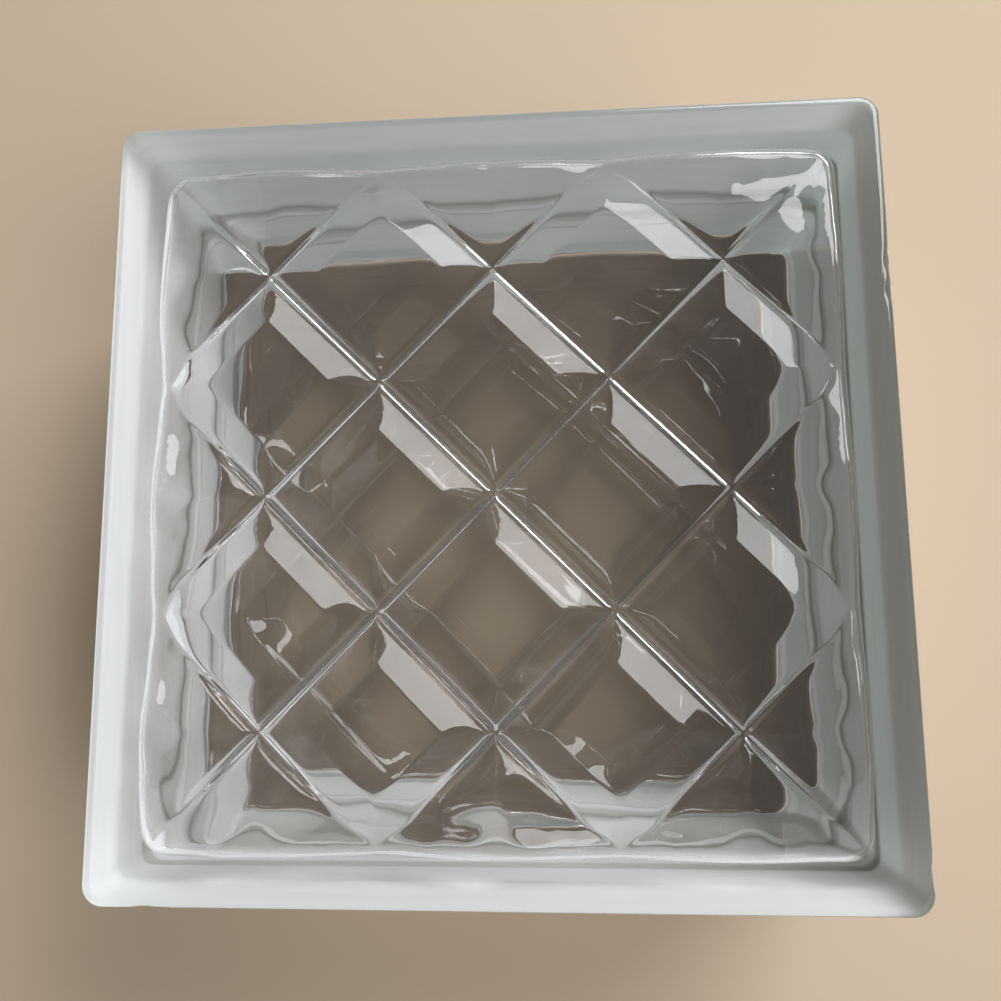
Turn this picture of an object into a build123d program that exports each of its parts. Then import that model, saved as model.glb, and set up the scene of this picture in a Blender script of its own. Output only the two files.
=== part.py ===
from build123d import *
import math
import os

# Hollow glass block: two pressed glass halves, fused hot at the middle into one sealed body.
# Millimetres, +Z up. The block lies on its rear face, with the origin at that face's centre.

# Outside of the block
face_width = 190.0  # side of the square front and rear faces
block_depth = 80.0  # rear face to front face
lip_corner_radius = 5.0  # corners of the square, seen from the front
lip_edge_radius = 1.5  # polished round between a face and its lip
lip_height = 6.5  # face plane to the end of the lip's flat side

# Mortar recess, which runs round all four sides between the two lips
recess_depth = 4.0  # lip side to recess floor
shoulder_height = 8.0  # slope from the lip down to the recess floor
recess_corner_radius = 3.5
shoulder_heel_radius = 2.0  # round where the lip turns into the shoulder
shoulder_foot_radius = 8.0  # hollow where the shoulder runs out into the floor

# Side walls and the sealed cavity between them
wall_thickness = 5.0  # at the fused seam, where the wall is thinnest
wall_draft = 1.0  # degrees by which the pressed wall thickens towards the face
cavity_corner_radius = 6.0  # at the pressed face
cavity_rim_radius = 2.5  # hollow between the wall and the pressed face
bead_proud = 0.8  # how far the fused seam stands out, inside and outside

# Pressed diamond pattern on the inside of each face
face_thickness = 8.0  # glass over the flat bottom of a diamond
cells_across = 3  # diamonds from side to side, corner to corner
rib_half_width = 8.8  # crest line to the edge of a flat bottom
flank_height = 2.1  # rise of a rib's long flank, if it ran on to the crest line
ridge_half_width = 2.4  # crest line to the foot of the steeper ridge on top of the flanks
ridge_height = 1.0  # how far the ridge stands above the two flanks' meeting line

seam_height = block_depth / 2
recess_width = face_width - 2 * recess_depth
seam_cavity_width = recess_width - 2 * wall_thickness
press_depth = seam_height - face_thickness
draft_shift = press_depth * math.tan(math.radians(wall_draft))
field_width = seam_cavity_width - 2 * draft_shift
cell_diagonal = field_width / cells_across
rib_spacing = cell_diagonal / math.sqrt(2)


def square_at(width, radius, height):
    return Pos(0, 0, height) * RectangleRounded(width, width, radius)


def edges_at(part, height):
    return part.edges().filter_by_position(Axis.Z, height - 0.01, height + 0.01)


def recess_section():
    # Half of the mortar recess in cross-section: x outwards from the recess floor, y up from the face.
    # The shoulder's slope runs on past the lip, so that it also cuts the lip's corners from below.
    reach = 3 * recess_depth
    shoulder_top = lip_height + shoulder_height
    reach_height = shoulder_top - reach * shoulder_height / recess_depth
    outline = Polyline(
        (0, seam_height),
        (0, shoulder_top),
        (reach, reach_height),
        (reach, seam_height),
        close=True,
    )
    section = make_face(outline)
    foot = section.vertices().sort_by_distance((0, shoulder_top))[0]
    return fillet(foot, shoulder_foot_radius)


def on_lip_side(point):
    above_face = 0 < point.Z < seam_height / 2
    return above_face and max(abs(point.X), abs(point.Y)) > face_width / 2 - 0.01


def rear_outside():
    # Rear half up to the seam: a square blank with the recess cut round its four sides.
    blank = extrude(square_at(face_width, lip_corner_radius, 0), seam_height)
    floor_line = square_at(recess_width, recess_corner_radius, 0).wire()
    along = floor_line % 0
    across = Plane(origin=floor_line @ 0, x_dir=along.cross(Vector(0, 0, 1)), z_dir=-along)
    outside = blank - sweep(across * recess_section(), path=floor_line)
    level_edges = outside.edges().filter_by(Axis.Z, reverse=True)
    heel = [edge for edge in level_edges if on_lip_side(edge @ 0) and on_lip_side(edge @ 1)]
    outside = fillet(heel, shoulder_heel_radius)
    return fillet(edges_at(outside, 0), lip_edge_radius)


def rib_section():
    # Cross-section of one rib, crest up, with the flat bottoms of the diamonds at height 0.
    # It reaches down into the glass below them, so that it cuts clean through the well's floor.
    ridge_foot = flank_height * (1 - ridge_half_width / rib_half_width)
    crest = flank_height + ridge_height
    root = -face_thickness / 2
    outline = Polyline(
        (-rib_half_width, root),
        (-rib_half_width, 0),
        (-ridge_half_width, ridge_foot),
        (0, crest),
        (ridge_half_width, ridge_foot),
        (rib_half_width, 0),
        (rib_half_width, root),
        close=True,
    )
    return make_face(outline)


def ribs():
    # Two crossing sets of parallel ribs on the diagonals, one diamond apart.
    upright = Plane(origin=(0, 0, face_thickness), x_dir=(0, 1, 0), z_dir=(1, 0, 0))
    rib = extrude(upright * rib_section(), face_width, both=True)
    last = cells_across - 1
    placed = []
    for turn in (45, -45):
        for step in range(-last, last + 1):
            placed.append(Rot(0, 0, turn) * Pos(0, step * rib_spacing, 0) * rib)
    return placed


def rear_cavity():
    # Hollow of the rear half: a drafted well with a rounded rim, and the ribs standing in it.
    floor = square_at(field_width, cavity_corner_radius, face_thickness)
    well = extrude(floor, press_depth, taper=-wall_draft)
    well = fillet(edges_at(well, face_thickness), cavity_rim_radius)
    return well - ribs()


def seam_bead():
    # Rounded bead of glass where the two halves were pressed together.
    middle_width = recess_width - wall_thickness
    middle_radius = (recess_corner_radius + cavity_corner_radius) / 2
    path = square_at(middle_width, middle_radius, seam_height).wire()
    start = Plane(origin=path @ 0, z_dir=path % 0)
    return sweep(start * Circle(wall_thickness / 2 + bead_proud), path=path)


def both_halves(rear):
    front = mirror(rear, about=Plane.XY.offset(seam_height))
    return rear + front


def glass_block():
    outside = both_halves(rear_outside())
    cavity = both_halves(rear_cavity())
    return outside - cavity + seam_bead()


os.makedirs("parts", exist_ok=True)
export_step(glass_block(), "parts/glass_block.step")
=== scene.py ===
import math
import bpy
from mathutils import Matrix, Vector, noise


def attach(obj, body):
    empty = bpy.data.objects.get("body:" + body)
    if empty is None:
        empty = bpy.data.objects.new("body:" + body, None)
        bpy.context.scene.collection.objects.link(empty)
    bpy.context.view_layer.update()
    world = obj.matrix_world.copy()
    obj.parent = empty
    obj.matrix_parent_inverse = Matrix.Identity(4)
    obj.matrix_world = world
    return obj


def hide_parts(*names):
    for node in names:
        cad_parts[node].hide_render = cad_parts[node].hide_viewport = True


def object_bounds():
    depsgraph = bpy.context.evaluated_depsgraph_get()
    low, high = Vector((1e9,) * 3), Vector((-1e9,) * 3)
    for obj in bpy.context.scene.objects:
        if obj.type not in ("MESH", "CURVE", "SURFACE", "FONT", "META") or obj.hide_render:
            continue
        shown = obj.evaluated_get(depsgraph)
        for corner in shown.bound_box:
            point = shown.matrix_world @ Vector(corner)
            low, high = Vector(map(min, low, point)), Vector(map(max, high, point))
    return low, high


# Hollow glass block with pressed diamonds, in metres. It lies on its rear face, with the origin at
# that face's centre. The blank is mesh code, and Geometry Nodes press the diamonds into it.

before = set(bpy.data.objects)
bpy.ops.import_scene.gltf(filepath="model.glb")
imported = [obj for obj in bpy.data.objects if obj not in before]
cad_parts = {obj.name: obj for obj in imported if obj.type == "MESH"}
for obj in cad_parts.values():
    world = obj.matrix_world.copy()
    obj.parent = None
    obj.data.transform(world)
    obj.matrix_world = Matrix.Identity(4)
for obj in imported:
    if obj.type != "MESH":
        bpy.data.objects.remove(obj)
cadLow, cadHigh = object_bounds()
mm = 0.001


# Mesh helpers
def smooth(low, high, value):
    t = min(1.0, max(0.0, (value - low) / (high - low)))
    return t * t * (3 - 2 * t)


def roundedPath(corners, steps):
    # an outline through corners (out, up, radius), with each of them turned into an arc
    points = []
    for i, (x, y, radius) in enumerate(corners):
        here = Vector((x, y))
        if radius == 0 or i in (0, len(corners) - 1):
            points.append(here)
            continue
        before = (Vector(corners[i - 1][:2]) - here).normalized()
        after = (Vector(corners[i + 1][:2]) - here).normalized()
        half = before.angle(after) / 2
        centre = here + (before + after).normalized() * (radius / math.sin(half))
        start = here + before * (radius / math.tan(half)) - centre
        turn = math.pi - 2 * half
        if start.x * after.y - start.y * after.x < 0:
            turn = -turn
        for k in range(steps + 1):
            a = turn * k / steps
            points.append(centre + Vector((start.x * math.cos(a) - start.y * math.sin(a),
                                           start.x * math.sin(a) + start.y * math.cos(a))))
    return points


def squareRing(half, radius, shares, cornerSteps):
    # points round a rounded square, from the middle of one corner, anticlockwise
    side = []
    flat = half - radius
    halfCorner = cornerSteps // 2
    for k in range(halfCorner):
        a = -math.pi / 4 + math.pi / 4 * k / halfCorner
        side.append((flat + radius * math.cos(a), -flat + radius * math.sin(a)))
    for share in shares:
        side.append((half, -flat + 2 * flat * share))
    for k in range(1, halfCorner):
        a = math.pi / 4 * k / halfCorner
        side.append((flat + radius * math.cos(a), flat + radius * math.sin(a)))
    ring = []
    for quarter in range(4):
        for x, y in side:
            for _ in range(quarter):
                x, y = -y, x
            ring.append((x, y))
    return ring


def lineSpacing(count, span, marks):
    # count + 1 distances from 0 to span, closer together near each mark (place, reach, weight)
    fine = 2000  # slices in which the density of lines is added up
    total, sums = 0.0, [0.0]
    for k in range(fine):
        d = span * (k + 0.5) / fine
        total += 1.0 + sum(weight * math.exp(-((d - place) / reach) ** 2)
                           for place, reach, weight in marks)
        sums.append(total)
    lines, k = [0.0], 0
    for i in range(1, count):
        while sums[k + 1] < total * i / count:
            k += 1
        lines.append(span * (k + (total * i / count - sums[k]) / (sums[k + 1] - sums[k])) / fine)
    return lines + [span]


class Skin:
    # vertices, faces and the values that the press reads, gathered before the mesh is made
    def __init__(self):
        self.points, self.faces, self.coated, self.lattice = [], [], [], []
        self.values = {"press": [], "inward": [], "polish": [], "byWall": []}

    def add(self, point, lattice=(0, 0), **given):
        self.points.append(point)
        self.lattice.append((*lattice, 0))
        for name, column in self.values.items():
            column.append(given.get(name, 0.0))
        return len(self.points) - 1

    def face(self, corners, coated=False, flip=False):
        self.faces.append(corners[::-1] if flip else corners)
        self.coated.append(coated)

    def band(self, lower, upper, coated=False, flip=False):
        count = len(lower)
        for i in range(count):
            j = (i + 1) % count
            self.face([lower[i], lower[j], upper[j], upper[i]], coated, flip)


# Outside of the block: faces, lips, mortar recess and fused seam
shell = {
    "half": cadHigh.x,  # centre to lip side
    "depth": cadHigh.z,  # rear face to front face
    "lipCorner": 5.0 * mm,
    "lipEdge": 1.5 * mm,
    "lipHeight": 6.5 * mm,
    "filmEdge": 2.6 * mm,  # how near to the face the white coating reaches
    "recess": 4.0 * mm,
    "recessCorner": 3.5 * mm,
    "leastCorner": 1.5 * mm,  # of the rings that close on the face
    "shoulder": 8.0 * mm,  # height of the slope from lip to recess floor
    "heelRound": 2.0 * mm,
    "footRound": 8.0 * mm,
    "beadProud": 0.8 * mm,
    "beadHalf": 3.0 * mm,
    "border": 0.5 * mm,  # flat strip between the face's grid and its rounded edge
    "roundSteps": 6,
    "beadSteps": 6,
    "sideSteps": 50,
    "cornerSteps": 10,
}
chips = {  # small bites out of the front lip
    "places": [  # side (0 right, 1 top, 2 left, 3 bottom), place along it, half length, bite
        (3, -78.0 * mm, 3.4 * mm, 0.75 * mm),
        (3, -71.5 * mm, 2.2 * mm, 0.35 * mm),
        (0, 53.0 * mm, 4.5 * mm, 0.40 * mm),
        (0, 45.0 * mm, 3.0 * mm, 0.30 * mm),
        (0, -86.0 * mm, 3.0 * mm, 0.60 * mm),
    ],
    "wholeTo": 0.6 * mm,  # distance from the lip's edge up to which the bite is whole
    "noneFrom": 2.6 * mm,  # and from which there is none
    "sideBand": 3.0 * mm,  # what is further in than this isn't on that side
    "grain": 1.1 * mm,  # size of the bumps in the broken glass
    "mean": 0.65,  # share of the bite that has gone on average
    "bumps": 0.7,  # and how far the bumps change that
    "down": 0.8,  # how far down a bite goes, for each step in
    "lineReach": 3.5 * mm,  # mesh lines gather this near to a chip
    "lineWeight": 6.0,
}


def chipped(x, y, z):
    # a point of the front lip, moved in where a chip has gone
    below = shell["depth"] - z
    inside = shell["half"] - max(abs(x), abs(y))
    near = 1 - smooth(chips["wholeTo"], chips["noneFrom"], math.hypot(below, inside))
    if near == 0:
        return x, y, z
    for side, place, half, bite in chips["places"]:
        out, along = ((x, y), (y, x), (-x, y), (-y, x))[side]
        if out < shell["half"] - chips["sideBand"]:
            continue
        reach = 1 - ((along - place) / half) ** 2
        if reach <= 0:
            continue
        rough = chips["mean"] + chips["bumps"] * noise.noise(Vector((x, y, z)) / chips["grain"])
        depth = bite * reach ** 0.5 * near * rough
        x, y = [(x - depth, y), (x, y - depth), (x + depth, y), (x, y + depth)][side]
        z -= depth * chips["down"]
    return x, y, z


def recessProfile():
    # from the face's border, round the lip and down the recess, up to the crest of the seam bead
    s = shell
    seam = s["depth"] / 2
    half, floor = s["half"], s["half"] - s["recess"]
    profile = roundedPath([
        (half - s["lipEdge"] - s["border"], 0, 0),
        (half, 0, s["lipEdge"]),
        (half, s["filmEdge"], 0),
        (half, s["lipHeight"], s["heelRound"]),
        (floor, s["lipHeight"] + s["shoulder"], s["footRound"]),
        (floor, seam - s["beadHalf"], 0),
    ], s["roundSteps"])
    for k in range(1, s["beadSteps"] + 1):
        a = math.pi * k / s["beadSteps"]
        out = floor + s["beadProud"] * (1 - math.cos(a)) / 2
        profile.append(Vector((out, seam - s["beadHalf"] * (1 - k / s["beadSteps"]))))
    return profile


def outerShell(skin):
    s = shell
    half = s["half"]
    flat = half - s["lipCorner"]
    places = sorted({(place if side < 2 else -place) for side, place, _, _ in chips["places"]})
    marks = [(flat + place, chips["lineReach"], chips["lineWeight"]) for place in places]
    shares = [line / (2 * flat) for line in lineSpacing(s["sideSteps"], 2 * flat, marks)]
    profile = recessProfile()
    levels = [(out, z) for out, z in profile]
    levels += [(out, s["depth"] - z) for out, z in profile[-2::-1]]
    rings = []
    for out, z in levels:
        onEdge = z <= s["lipEdge"] or z >= s["depth"] - s["lipEdge"]
        share = 0.0 if onEdge else min(1.0, max(0.0, (half - out) / s["recess"]))
        radius = s["lipCorner"] + share * (s["recessCorner"] - s["lipCorner"])
        radius = radius - (half - out) * (1 - share)
        ring = squareRing(out, max(radius, s["leastCorner"]), shares, s["cornerSteps"])
        rings.append([skin.add(chipped(x, y, z)) for x, y in ring])
    for i in range(len(rings) - 1):
        middle = (levels[i][1] + levels[i + 1][1]) / 2
        coated = s["filmEdge"] < middle < s["depth"] - s["filmEdge"]
        skin.band(rings[i], rings[i + 1], coated)
    capFace(skin, rings[0], flip=True)
    capFace(skin, rings[-1], flip=False)


def capFace(skin, ring, flip):
    # fills a ring with a square grid whose edge is the ring itself
    n = len(ring) // 4
    z = skin.points[ring[0]][2]
    edge = [Vector(skin.points[i]) for i in ring]
    right, top = edge[:n + 1], edge[n:2 * n + 1]
    left, bottom = edge[2 * n:3 * n + 1], edge[3 * n:] + [edge[0]]
    left, top = left[::-1], top[::-1]
    grid = {}
    for i in range(n + 1):
        for j in range(n + 1):
            if i == n:
                grid[i, j] = ring[j]
            elif j == n:
                grid[i, j] = ring[n + (n - i)]
            elif i == 0:
                grid[i, j] = ring[2 * n + (n - j)]
            elif j == 0:
                grid[i, j] = ring[(3 * n + i) % (4 * n)]
            else:
                u, v = i / n, j / n
                p = (left[j] * (1 - u) + right[j] * u + bottom[i] * (1 - v) + top[i] * v
                     - left[0] * (1 - u) * (1 - v) - right[0] * u * (1 - v)
                     - left[n] * (1 - u) * v - right[n] * u * v)
                grid[i, j] = skin.add((p.x, p.y, z), polish=1.0 if flip else -1.0)
    for i in range(n):
        for j in range(n):
            corners = [grid[i, j], grid[i + 1, j], grid[i + 1, j + 1], grid[i, j + 1]]
            skin.face(corners, flip=flip)


# Sealed hollow: the plunger's well before the diamonds are pressed into it
well = {
    "faceGlass": 8.0 * mm,  # over the flat bottom of a diamond
    "field": 85.43 * mm,  # centre to wall, at the pressed face
    "corner": 6.0 * mm,
    "rim": 2.5 * mm,
    "draft": math.radians(1.0),
    "beadProud": 0.8 * mm,
    "beadHalf": 3.0 * mm,
    "beadSteps": 5,
    "rimSteps": 6,
    "wallRows": (0.05, 0.12, 0.2, 0.3, 0.42, 0.55, 0.7, 0.85, 1.0),  # from the rim to the bead
    "cells": 3,  # diamonds from side to side
    "cellSteps": 40,
    "crestLines": (1.3 * mm, 5.0),  # reach and weight with which mesh lines gather at a crest
    "ridgeLines": (1.0 * mm, 1.0),  # at the foot of the ridge
    "footLines": (0.7 * mm, 3.0),  # and at the foot of the flank
    "wallBand": 24.0 * mm,  # band in which crests soften and waves grow
    "edgeBand": 9.0 * mm,  # band along the wall in which the pattern gives way to the rim
    "pressFrom": 0.6,  # share of the rim's height up to which the relief is whole
    "pressTo": 16.0 * mm,  # height on the wall at which it has died away
}
cellSide = math.sqrt(2) * well["field"] / well["cells"]


def pressedFloor(skin, inward):
    # floor of one half's well on mesh lines that follow the diamonds; gives its boundary loop
    w = well
    steps, field = w["cellSteps"], w["field"]
    reach = w["cells"] * steps
    z = w["faceGlass"] if inward > 0 else shell["depth"] - w["faceGlass"]
    halfLines = lineSpacing(steps // 2, cellSide / 2, [
        (0, *w["crestLines"]),
        (relief["Ridge Width"], *w["ridgeLines"]),
        (relief["Flank Width"], *w["footLines"]),
    ])
    cellLines = halfLines + [cellSide - d for d in halfLines[-2::-1]]

    def along(index):
        whole, part = divmod(index, steps)
        return cellSide * whole + cellLines[part]

    inset = field - w["rim"]
    corner = w["corner"] - w["rim"]
    straight = inset - corner

    def pulledIn(c):
        return math.copysign(abs(c) - w["rim"] * smooth(field - w["edgeBand"], field, abs(c)), c)

    def placed(u, v):
        x, y = pulledIn((u - v) / math.sqrt(2)), pulledIn((u + v) / math.sqrt(2))
        px, py = abs(x) - straight, abs(y) - straight
        if px > 0 and py > 0:  # in the well's rounded corner
            share = max(px, py) / math.hypot(px, py)
            x, y = math.copysign(straight + px * share, x), math.copysign(straight + py * share, y)
        return x, y

    index = {}
    for i in range(-reach, reach + 1):
        for j in range(-(reach - abs(i)), reach - abs(i) + 1):
            u, v = along(i), along(j)
            x, y = placed(u, v)
            near = smooth(field - w["wallBand"], field, max(abs(x), abs(y)))
            index[i, j] = skin.add((x, y, z), (u, v), press=1.0, inward=inward, byWall=near)
    for i in range(-reach, reach):
        for j in range(-reach, reach):
            corners = [index.get(key) for key in ((i, j), (i + 1, j), (i + 1, j + 1), (i, j + 1))]
            corners = [c for c in corners if c is not None]
            if len(corners) >= 3:
                skin.face(corners, flip=inward < 0)
    loop = [index[reach - k, k] for k in range(reach)]
    loop += [index[-k, reach - k] for k in range(reach)]
    loop += [index[k - reach, -k] for k in range(reach)]
    loop += [index[k, k - reach] for k in range(reach)]
    return loop


def wallLevels():
    # (distance out from the floor's edge, height over it) for each row of rim, wall and bead
    w = well
    tall = shell["depth"] / 2 - w["faceGlass"]
    levels = []
    for k in range(1, w["rimSteps"] + 1):
        a = math.pi / 2 * k / w["rimSteps"]
        levels.append((w["rim"] * math.sin(a), w["rim"] * (1 - math.cos(a))))
    rise = w["rim"]
    for share in w["wallRows"]:
        h = rise + (tall - w["beadHalf"] - rise) * share
        levels.append((w["rim"] + (h - rise) * math.tan(w["draft"]), h))
    wallOut = levels[-1][0]
    for k in range(1, w["beadSteps"] + 1):
        a = math.pi * k / w["beadSteps"]
        out = wallOut - w["beadProud"] * (1 - math.cos(a)) / 2
        levels.append((out, tall - w["beadHalf"] * (1 - k / w["beadSteps"])))
    return levels


def wellWall(skin, loop, inward, seamRing=None):
    # rim, wall and half of the inner seam bead above one floor; gives the ring at the seam
    w = well
    straight = w["field"] - w["corner"]
    z0 = w["faceGlass"] if inward > 0 else shell["depth"] - w["faceGlass"]
    levels = wallLevels()
    lower = loop
    for number, (out, h) in enumerate(levels):
        if seamRing and number == len(levels) - 1:
            upper = seamRing
        else:
            upper = []
            press = 1.0 - smooth(w["rim"] * w["pressFrom"], w["pressTo"], h)
            for v in loop:
                x, y, _ = skin.points[v]
                px, py = max(0.0, abs(x) - straight), max(0.0, abs(y) - straight)
                if px > 0 and py > 0:
                    length = math.hypot(px, py)
                    nx, ny = px / length, py / length
                else:
                    nx, ny = (1, 0) if px > py else (0, 1)
                nx, ny = math.copysign(nx, x), math.copysign(ny, y)
                point = (x + nx * out, y + ny * out, z0 + inward * h)
                upper.append(skin.add(point, skin.lattice[v][:2], press=press, inward=inward,
                                      byWall=1.0))
        skin.band(lower, upper, flip=inward > 0)
        lower = upper
    return lower


def makeBlank():
    skin = Skin()
    outerShell(skin)
    rear = pressedFloor(skin, 1)
    front = pressedFloor(skin, -1)
    seamRing = wellWall(skin, rear, 1)
    wellWall(skin, front, -1, seamRing)
    mesh = bpy.data.meshes.new("blank")
    mesh.from_pydata(skin.points, [], skin.faces)
    flatList = [c for point in skin.lattice for c in point]
    mesh.attributes.new("lattice", "FLOAT_VECTOR", "POINT").data.foreach_set("vector", flatList)
    for name, column in skin.values.items():
        mesh.attributes.new(name, "FLOAT", "POINT").data.foreach_set("value", column)
    mesh.attributes.new("coated", "BOOLEAN", "FACE").data.foreach_set("value", skin.coated)
    mesh.shade_smooth()
    mesh.update()
    return bpy.data.objects.new("glass_block_pressed", mesh)


# Node helpers, for the press and for the finishes
def wire(tree, source, socket):
    # links a node's output, or sets a plain value
    if isinstance(source, bpy.types.NodeSocket):
        tree.links.new(source, socket)
    else:
        socket.default_value = source


def calculator(tree):
    def calc(operation, *sources):
        node = tree.nodes.new("ShaderNodeMath")
        node.operation = operation
        for source, socket in zip(sources, node.inputs):
            wire(tree, source, socket)
        return node.outputs[0]
    return calc


def parts(tree, source):
    # the X, Y and Z of a vector
    node = tree.nodes.new("ShaderNodeSeparateXYZ")
    tree.links.new(source, node.inputs[0])
    return node.outputs


def mixedColour(tree, factor, first, second, blend="MIX"):
    node = tree.nodes.new("ShaderNodeMix")
    node.data_type = "RGBA"
    node.blend_type = blend
    wire(tree, factor, node.inputs["Factor"])
    wire(tree, first, node.inputs["A"])
    wire(tree, second, node.inputs["B"])
    return node.outputs["Result"]


def mixedShader(tree, factor, first, second):
    node = tree.nodes.new("ShaderNodeMixShader")
    wire(tree, factor, node.inputs[0])
    tree.links.new(first, node.inputs[1])
    tree.links.new(second, node.inputs[2])
    return node.outputs[0]


def ranged(tree, source, low, high, kind="LINEAR"):
    # 0 to 1 while the source goes from low to high
    node = tree.nodes.new("ShaderNodeMapRange")
    node.interpolation_type = kind
    node.inputs["From Min"].default_value = low
    node.inputs["From Max"].default_value = high
    tree.links.new(source, node.inputs["Value"])
    return node.outputs[0]


def objectPlace(tree):
    return tree.nodes.new("ShaderNodeTexCoord").outputs["Object"]


# Diamond relief and the slight waves of pressed, fire-polished glass: the press's inputs
relief = {
    "Flank Height": 2.1 * mm,  # the diamond's straight sloping flank
    "Flank Width": 8.8 * mm,  # crest line to the edge of a flat bottom
    "Ridge Height": 0.85 * mm,  # the steeper ridge on top of two flanks
    "Ridge Width": 1.8 * mm,
    "Press Tilt": 3.0,  # share by which the relief deepens per metre towards one corner
    "Crest Round": 0.2 * mm,
    "Wall Flare": 0.8,  # share by which ribs spread where they run out at the wall
    "Wall Softness": 0.35 * mm,  # how much rounder their crests get there
    "Mitre Softness": 0.7 * mm,
    "Foot Softness": 0.25 * mm,
    "Wave Height": 0.14 * mm,
    "Wave Size": 26.0 * mm,
    "Edge Wave Height": 1.5 * mm,  # extra waves beside the wall
    "Edge Wave Size": 17.0 * mm,
    "Ripple Height": 0.22 * mm,  # finer ripples close to the wall
    "Ripple Size": 8.0 * mm,
    "Face Wave": 0.03 * mm,  # on the flat outside
    "Seed": 7.0,
}
wallPowers = {  # with which each grows towards the wall, or the ridge fades
    "flare": 2.0,
    "ridge": 2.5,
    "edgeWave": 1.5,
    "ripple": 2.0,
}
seedSteps = {"broad": 0.0, "byEdge": 3.7, "ripple": 9.1}  # so that no two waves are alike


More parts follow.
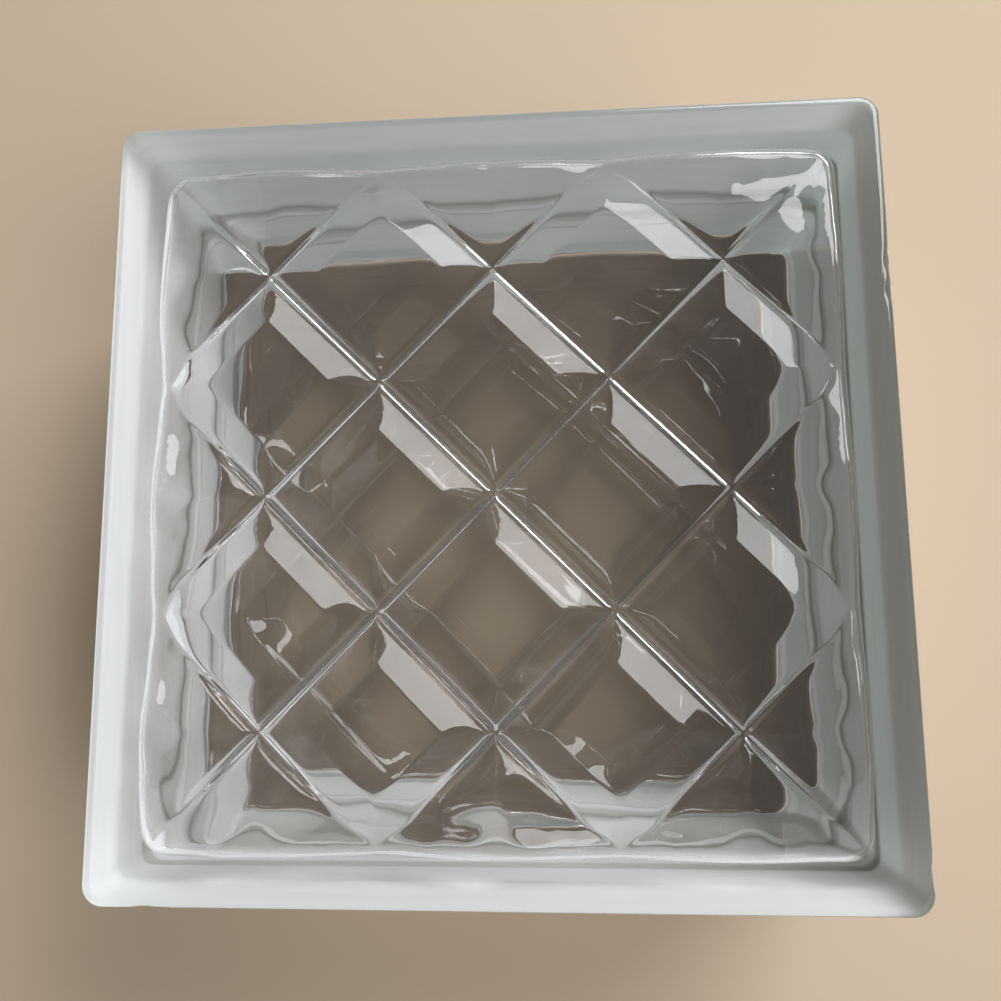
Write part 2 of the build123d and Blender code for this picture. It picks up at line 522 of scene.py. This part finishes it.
# Geometry Nodes: the press that gives the blank its diamonds
def pressTree():
    tree = bpy.data.node_groups.new("diamondPress", "GeometryNodeTree")
    sockets = tree.interface
    sockets.new_socket("Geometry", in_out="INPUT", socket_type="NodeSocketGeometry")
    for name in ("Cell Side", *relief):
        sockets.new_socket(name, in_out="INPUT", socket_type="NodeSocketFloat")
    for name in ("Glass", "Coating"):
        sockets.new_socket(name, in_out="INPUT", socket_type="NodeSocketMaterial")
    sockets.new_socket("Geometry", in_out="OUTPUT", socket_type="NodeSocketGeometry")
    nodes, links = tree.nodes, tree.links
    calc = calculator(tree)
    size = nodes.new("NodeGroupInput").outputs

    def stored(name, kind="FLOAT"):
        node = nodes.new("GeometryNodeInputNamedAttribute")
        node.data_type = kind
        node.inputs["Name"].default_value = name
        return node.outputs["Attribute"]

    def waves(span, seedStep):
        texture = nodes.new("ShaderNodeTexNoise")
        texture.noise_dimensions = "4D"
        texture.inputs["Detail"].default_value = 1.0
        links.new(nodes.new("GeometryNodeInputPosition").outputs[0], texture.inputs["Vector"])
        links.new(calc("ADD", size["Seed"], seedStep), texture.inputs["W"])
        links.new(calc("DIVIDE", 1.0, span), texture.inputs["Scale"])
        return texture.outputs[0]

    def swing(source, height):
        return calc("MULTIPLY", calc("MULTIPLY", calc("SUBTRACT", source, 0.5), 2.0), height)

    # distance from the nearest crest line, rounded over the crest and in the mitres
    lattice = parts(tree, stored("lattice", "FLOAT_VECTOR"))
    halfCell = calc("MULTIPLY", size["Cell Side"], 0.5)
    fromU = calc("PINGPONG", lattice[0], halfCell)
    fromV = calc("PINGPONG", lattice[1], halfCell)
    away = calc("MAXIMUM", calc("SMOOTH_MIN", fromU, fromV, size["Mitre Softness"]), 0.0)
    byWall = stored("byWall")
    crest = calc("MULTIPLY_ADD", byWall, size["Wall Softness"], size["Crest Round"])
    arc = calc("SQRT", calc("MULTIPLY_ADD", away, away, calc("POWER", crest, 2.0)))
    rounded = calc("SUBTRACT", arc, crest)

    # flank and ridge
    flare = calc("MULTIPLY", calc("POWER", byWall, wallPowers["flare"]), size["Wall Flare"])
    spread = calc("MULTIPLY_ADD", flare, size["Flank Width"], size["Flank Width"])
    toFoot = calc("SMOOTH_MAX", calc("SUBTRACT", spread, rounded), 0.0, size["Foot Softness"])
    flank = calc("MULTIPLY", calc("DIVIDE", toFoot, size["Flank Width"]), size["Flank Height"])
    upRidge = calc("SUBTRACT", 1.0, calc("DIVIDE", rounded, size["Ridge Width"]))
    upRidge = calc("MAXIMUM", upRidge, 0.0)
    ridge = calc("MULTIPLY", calc("POWER", upRidge, 2.0), size["Ridge Height"])
    awayFromWall = calc("POWER", calc("SUBTRACT", 1.0, byWall), wallPowers["ridge"])
    ribs = calc("ADD", flank, calc("MULTIPLY", ridge, awayFromWall))

    # waves
    broad = waves(size["Wave Size"], seedSteps["broad"])
    byEdge = waves(size["Edge Wave Size"], seedSteps["byEdge"])
    fine = waves(size["Ripple Size"], seedSteps["ripple"])
    edgeWave = calc("MULTIPLY", swing(byEdge, size["Edge Wave Height"]),
                    calc("POWER", byWall, wallPowers["edgeWave"]))
    ripple = calc("MULTIPLY", swing(fine, size["Ripple Height"]),
                  calc("POWER", byWall, wallPowers["ripple"]))
    inside = calc("ADD", calc("ADD", ribs, swing(broad, size["Wave Height"])), edgeWave)
    inside = calc("ADD", inside, ripple)

    # deeper towards one corner, and inwards from either face
    spot = parts(tree, nodes.new("GeometryNodeInputPosition").outputs[0])
    tilt = calc("MULTIPLY", calc("ADD", spot[0], spot[1]), size["Press Tilt"])
    inside = calc("MULTIPLY", inside, calc("SUBTRACT", 1.0, tilt))
    inside = calc("MULTIPLY", calc("MULTIPLY", inside, stored("press")), stored("inward"))
    outside = calc("MULTIPLY", calc("MULTIPLY", broad, size["Face Wave"]), stored("polish"))
    lift = nodes.new("ShaderNodeCombineXYZ")
    links.new(calc("ADD", inside, outside), lift.inputs[2])
    push = nodes.new("GeometryNodeSetPosition")
    links.new(size["Geometry"], push.inputs["Geometry"])
    links.new(lift.outputs[0], push.inputs["Offset"])

    # finishes
    real = nodes.new("GeometryNodeRealizeInstances")
    links.new(push.outputs[0], real.inputs[0])
    clear = nodes.new("GeometryNodeSetMaterial")
    links.new(real.outputs[0], clear.inputs["Geometry"])
    links.new(size["Glass"], clear.inputs["Material"])
    coat = nodes.new("GeometryNodeSetMaterial")
    links.new(clear.outputs[0], coat.inputs["Geometry"])
    links.new(stored("coated", "BOOLEAN"), coat.inputs["Selection"])
    links.new(size["Coating"], coat.inputs["Material"])
    links.new(coat.outputs[0], nodes.new("NodeGroupOutput").inputs[0])
    return tree


def pressed(blank, tree, values):
    bpy.context.scene.collection.objects.link(blank)
    modifier = blank.modifiers.new("press", "NODES")
    modifier.node_group = tree
    for item in tree.interface.items_tree:
        if item.in_out == "INPUT" and item.name in values:
            modifier[item.identifier] = values[item.name]
    bpy.context.view_layer.update()
    graph = bpy.context.evaluated_depsgraph_get()
    mesh = bpy.data.meshes.new_from_object(
        blank.evaluated_get(graph), preserve_all_data_layers=True, depsgraph=graph)
    blank.modifiers.remove(modifier)
    blank.data = mesh
    return blank


# Clear glass. Caustics are off, so the glass passes lamp light straight on instead. Gains over 1
# stand for the light that goes from film to film inside the block, which isn't traced.
clearGlass = {
    "tint": (0.998, 0.999, 1.0, 1),
    "ior": 1.52,
    "murk": (0.70, 0.90, 0.88, 1),
    "density": 0.3,
    "lampsIn": (1.12, 1.12, 1.12, 1),  # gain of lamp light where it enters the glass
    "lampsOut": (1.29, 1.28, 1.26, 1),  # where it leaves it
    "lampsDown": (0.53, 0.52, 0.51, 1),  # where it leaves by the rear face, to the floor
    "rearBelow": 1.0 * mm,
    "slopes": [  # share that passes, by the normal's Z: upright wall, ridge, flank, level face
        (0.4, 1.0),
        (0.7, 0.2),
        (0.96, 0.45),
        (0.992, 1.0),
    ],
}


def newMaterial(name):
    material = bpy.data.materials.new(name)
    material.use_nodes = True
    nodes = material.node_tree.nodes
    return material, material.node_tree, nodes["Principled BSDF"], nodes["Material Output"]


def glassMaterial():
    material, tree, glass, out = newMaterial("clear_pressed_glass")
    nodes, links = tree.nodes, tree.links
    calc = calculator(tree)
    glass.inputs["Base Color"].default_value = clearGlass["tint"]
    glass.inputs["Roughness"].default_value = 0.0
    glass.inputs["IOR"].default_value = clearGlass["ior"]
    glass.inputs["Transmission Weight"].default_value = 1.0

    # a lamp ray is followed from the lit surface to the lamp, so it leaves where light enters
    surface = nodes.new("ShaderNodeNewGeometry")
    atRear = calc("LESS_THAN", parts(tree, objectPlace(tree))["Z"], clearGlass["rearBelow"])
    leaving = mixedColour(tree, atRear, clearGlass["lampsOut"], clearGlass["lampsDown"])
    crossing = mixedColour(tree, surface.outputs["Backfacing"], leaving, clearGlass["lampsIn"])
    slope = nodes.new("ShaderNodeValToRGB")
    elements = slope.color_ramp.elements
    while len(elements) < len(clearGlass["slopes"]):
        elements.new(0.5)
    for element, (place, grey) in zip(elements, clearGlass["slopes"]):
        element.position, element.color = place, (grey, grey, grey, 1)
    links.new(calc("ABSOLUTE", parts(tree, surface.outputs["Normal"])["Z"]), slope.inputs[0])
    clear = nodes.new("ShaderNodeBsdfTransparent")
    passed = mixedColour(tree, 1.0, crossing, slope.outputs[0], "MULTIPLY")
    links.new(passed, clear.inputs["Color"])
    lampRay = nodes.new("ShaderNodeLightPath").outputs["Is Shadow Ray"]
    shown = mixedShader(tree, lampRay, glass.outputs[0], clear.outputs[0])
    links.new(shown, out.inputs["Surface"])

    body = nodes.new("ShaderNodeVolumeAbsorption")
    body.inputs["Color"].default_value = clearGlass["murk"]
    body.inputs["Density"].default_value = clearGlass["density"]
    links.new(body.outputs[0], out.inputs["Volume"])
    return material


# White film on the mortar recess, brushed on
whiteCoat = {
    "thick": (0.93, 0.955, 0.97, 1),
    "thin": (0.90, 0.925, 0.935, 1),
    "thinTo": 0.38,  # of the brush pattern
    "thickFrom": 0.56,
    "roughness": 0.72,
    "specular": 0.25,
    "letsThrough": 0.27,  # share of the light that passes the film
    "strokeAcross": 420.0,  # brush marks per metre across the wall
    "strokeAlong": 22.0,  # and along it
    "grain": 900.0,
    "grainStrength": 0.25,
    "grainDepth": 0.15 * mm,
    "overSeam": (0.56, 0.58, 0.57, 1),  # darker, greyer film colour along the fused seam
    "seamHalf": 1.5 * mm,
    "seamFade": 6.0 * mm,  # distance from the seam at which the film is as elsewhere
}


def coatMaterial():
    material, tree, skin, out = newMaterial("white_edge_coating")
    nodes, links = tree.nodes, tree.links
    calc = calculator(tree)
    place = objectPlace(tree)
    strokes = nodes.new("ShaderNodeMapping")  # drawn out along the sides, tight across the depth
    along, across = whiteCoat["strokeAlong"], whiteCoat["strokeAcross"]
    strokes.inputs["Scale"].default_value = (along, along, across)
    links.new(place, strokes.inputs["Vector"])
    brushed = nodes.new("ShaderNodeTexNoise")
    brushed.inputs["Scale"].default_value = 1.0
    brushed.inputs["Detail"].default_value = 4.0
    links.new(strokes.outputs[0], brushed.inputs["Vector"])
    cover = ranged(tree, brushed.outputs[0], whiteCoat["thinTo"], whiteCoat["thickFrom"])
    shade = mixedColour(tree, cover, whiteCoat["thin"], whiteCoat["thick"])
    fromSeam = calc("ABSOLUTE", calc("SUBTRACT", parts(tree, place)["Z"], shell["depth"] / 2))
    clearOfSeam = ranged(tree, fromSeam, whiteCoat["seamHalf"], whiteCoat["seamFade"],
                         "SMOOTHSTEP")
    colour = mixedColour(tree, clearOfSeam, whiteCoat["overSeam"], shade)

    grain = nodes.new("ShaderNodeTexNoise")
    grain.inputs["Scale"].default_value = whiteCoat["grain"]
    grain.inputs["Detail"].default_value = 2.0
    links.new(place, grain.inputs["Vector"])
    bump = nodes.new("ShaderNodeBump")
    bump.inputs["Strength"].default_value = whiteCoat["grainStrength"]
    bump.inputs["Distance"].default_value = whiteCoat["grainDepth"]
    links.new(grain.outputs[0], bump.inputs["Height"])

    skin.inputs["Roughness"].default_value = whiteCoat["roughness"]
    skin.inputs["Specular IOR Level"].default_value = whiteCoat["specular"]
    links.new(colour, skin.inputs["Base Color"])
    links.new(bump.outputs[0], skin.inputs["Normal"])
    through = nodes.new("ShaderNodeBsdfTranslucent")
    links.new(colour, through.inputs["Color"])
    film = mixedShader(tree, whiteCoat["letsThrough"], skin.outputs[0], through.outputs[0])
    links.new(film, out.inputs["Surface"])
    return material


glass, coating = glassMaterial(), coatMaterial()
print("finishes made:", glass.name, coating.name)
blank = makeBlank()
print("blank made:", len(blank.data.vertices), "vertices")
values = {**relief, "Cell Side": cellSide, "Glass": glass, "Coating": coating}
block = pressed(blank, pressTree(), values)
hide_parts("glass_block")
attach(block, "root")
triangles = sum(len(polygon.vertices) - 2 for polygon in block.data.polygons)
print("block pressed:", triangles, "triangles")

# Studio: floor, lamps, world and camera
studio = {
    "floorColour": (0.55, 0.44, 0.325, 1),
    "floorRoughness": 0.9,
    "floorHalf": 4.0,
    "gap": 0.4 * mm,  # between the rear face and the floor
    "farColour": (0.60, 0.50, 0.385, 1),  # what the camera sees far off, beyond the lamps' reach
    "farFrom": 0.3,
    "farTo": 0.95,
    "throughGlow": (0.17, 0.13, 0.095, 1),  # painted glow, added to the floor where it is seen through glass, lifting the block's shadow there
    "throughGlowShare": 0.22,
    "walls": (0.10, 0.09, 0.08, 1),
    "wallsTo": 0.45,
    "ceiling": (0.14, 0.14, 0.14, 1),
    "ceilingFrom": 0.9,
}
lampTarget = (0, 0, 0.06)
lamps = {
    "window": {
        "place": (0.767, 1.102, 0.965),
        "size": (1.28, 0.988),
        "power": 30,
        "roll": -18.2,  # degrees, so that its edges lie along the mirrored bands
        "mirrored": True,
    },
    "fill": {
        "place": (0.75, -0.45, 1.01),
        "size": (1.0, 0.8),
        "power": 10,
        "roll": 0,
        "mirrored": False,  # lights the film, and leaves no mirror image in the face
    },
}
view = {
    "place": (16.78 * mm, -33.03 * mm, 288.33 * mm),
    "turn": (8.123, 4.107, -0.455),  # degrees
    "lens": 32.37,
    "sensor": 36,
    "nearest": 0.01,
}


def addFloor():
    mesh = bpy.data.meshes.new("floor")
    r, z = studio["floorHalf"], -studio["gap"]
    mesh.from_pydata([(-r, -r, z), (r, -r, z), (r, r, z), (-r, r, z)], [], [(0, 1, 2, 3)])
    floor = bpy.data.objects.new("floor", mesh)
    bpy.context.scene.collection.objects.link(floor)
    material, tree, skin, out = newMaterial("pale_floor")
    nodes, links = tree.nodes, tree.links
    calc = calculator(tree)
    skin.inputs["Base Color"].default_value = studio["floorColour"]
    skin.inputs["Roughness"].default_value = studio["floorRoughness"]
    distance = nodes.new("ShaderNodeVectorMath")
    distance.operation = "LENGTH"
    links.new(objectPlace(tree), distance.inputs[0])
    far = ranged(tree, distance.outputs["Value"], studio["farFrom"], studio["farTo"],
                 "SMOOTHSTEP")
    ray = nodes.new("ShaderNodeLightPath").outputs
    backdrop = nodes.new("ShaderNodeEmission")
    backdrop.inputs["Color"].default_value = studio["farColour"]
    seen = calc("MULTIPLY", far, ray["Is Camera Ray"])
    shown = mixedShader(tree, seen, skin.outputs[0], backdrop.outputs[0])
    # painted glow that lifts the shadow under the block where the glass shows the floor
    glow = nodes.new("ShaderNodeEmission")
    glow.inputs["Color"].default_value = studio["throughGlow"]
    through = calc("MULTIPLY", ray["Is Transmission Ray"], studio["throughGlowShare"])
    links.new(mixedShader(tree, through, shown, glow.outputs[0]), out.inputs["Surface"])
    mesh.materials.append(material)


def addLamp(name):
    given = lamps[name]
    lamp = bpy.data.lights.new(name, "AREA")
    lamp.shape = "RECTANGLE"
    lamp.size, lamp.size_y = given["size"]
    lamp.energy = given["power"]
    item = bpy.data.objects.new(name, lamp)
    item.location = given["place"]
    aim = Vector(lampTarget) - Vector(given["place"])
    item.rotation_euler = aim.to_track_quat("-Z", "Y").to_euler()
    item.rotation_euler.rotate_axis("Z", math.radians(given["roll"]))
    item.visible_glossy = given["mirrored"]
    item.visible_transmission = given["mirrored"]
    bpy.context.scene.collection.objects.link(item)


def addWorld():
    # pale ceiling above, dimmer walls all round
    world = bpy.data.worlds.new("studio")
    bpy.context.scene.world = world
    world.use_nodes = True
    tree = world.node_tree
    nodes, links = tree.nodes, tree.links
    ramp = nodes.new("ShaderNodeValToRGB")
    low, high = ramp.color_ramp.elements
    low.position, low.color = studio["wallsTo"], studio["walls"]
    high.position, high.color = studio["ceilingFrom"], studio["ceiling"]
    sky = nodes.new("ShaderNodeTexCoord").outputs["Generated"]
    links.new(parts(tree, sky)["Z"], ramp.inputs[0])
    byCamera = nodes.new("ShaderNodeLightPath").outputs["Is Camera Ray"]
    seen = mixedColour(tree, byCamera, ramp.outputs[0], studio["farColour"])
    links.new(seen, nodes["Background"].inputs["Color"])


def addCamera():
    camera = bpy.data.cameras.new("camera")
    camera.lens = view["lens"]
    camera.sensor_width = view["sensor"]
    camera.clip_start = view["nearest"]
    item = bpy.data.objects.new("camera", camera)
    item.location = view["place"]
    item.rotation_euler = [math.radians(a) for a in view["turn"]]
    bpy.context.scene.collection.objects.link(item)
    bpy.context.scene.camera = item


addFloor()
for lampName in lamps:
    addLamp(lampName)
addWorld()
addCamera()
bpy.context.scene.view_settings.view_transform = "Standard"
cycles = bpy.context.scene.cycles
cycles.max_bounces = 16
cycles.transmission_bounces = 14
cycles.glossy_bounces = 6
cycles.diffuse_bounces = 4
cycles.caustics_reflective = False
cycles.caustics_refractive = False
print("studio lit, camera set")
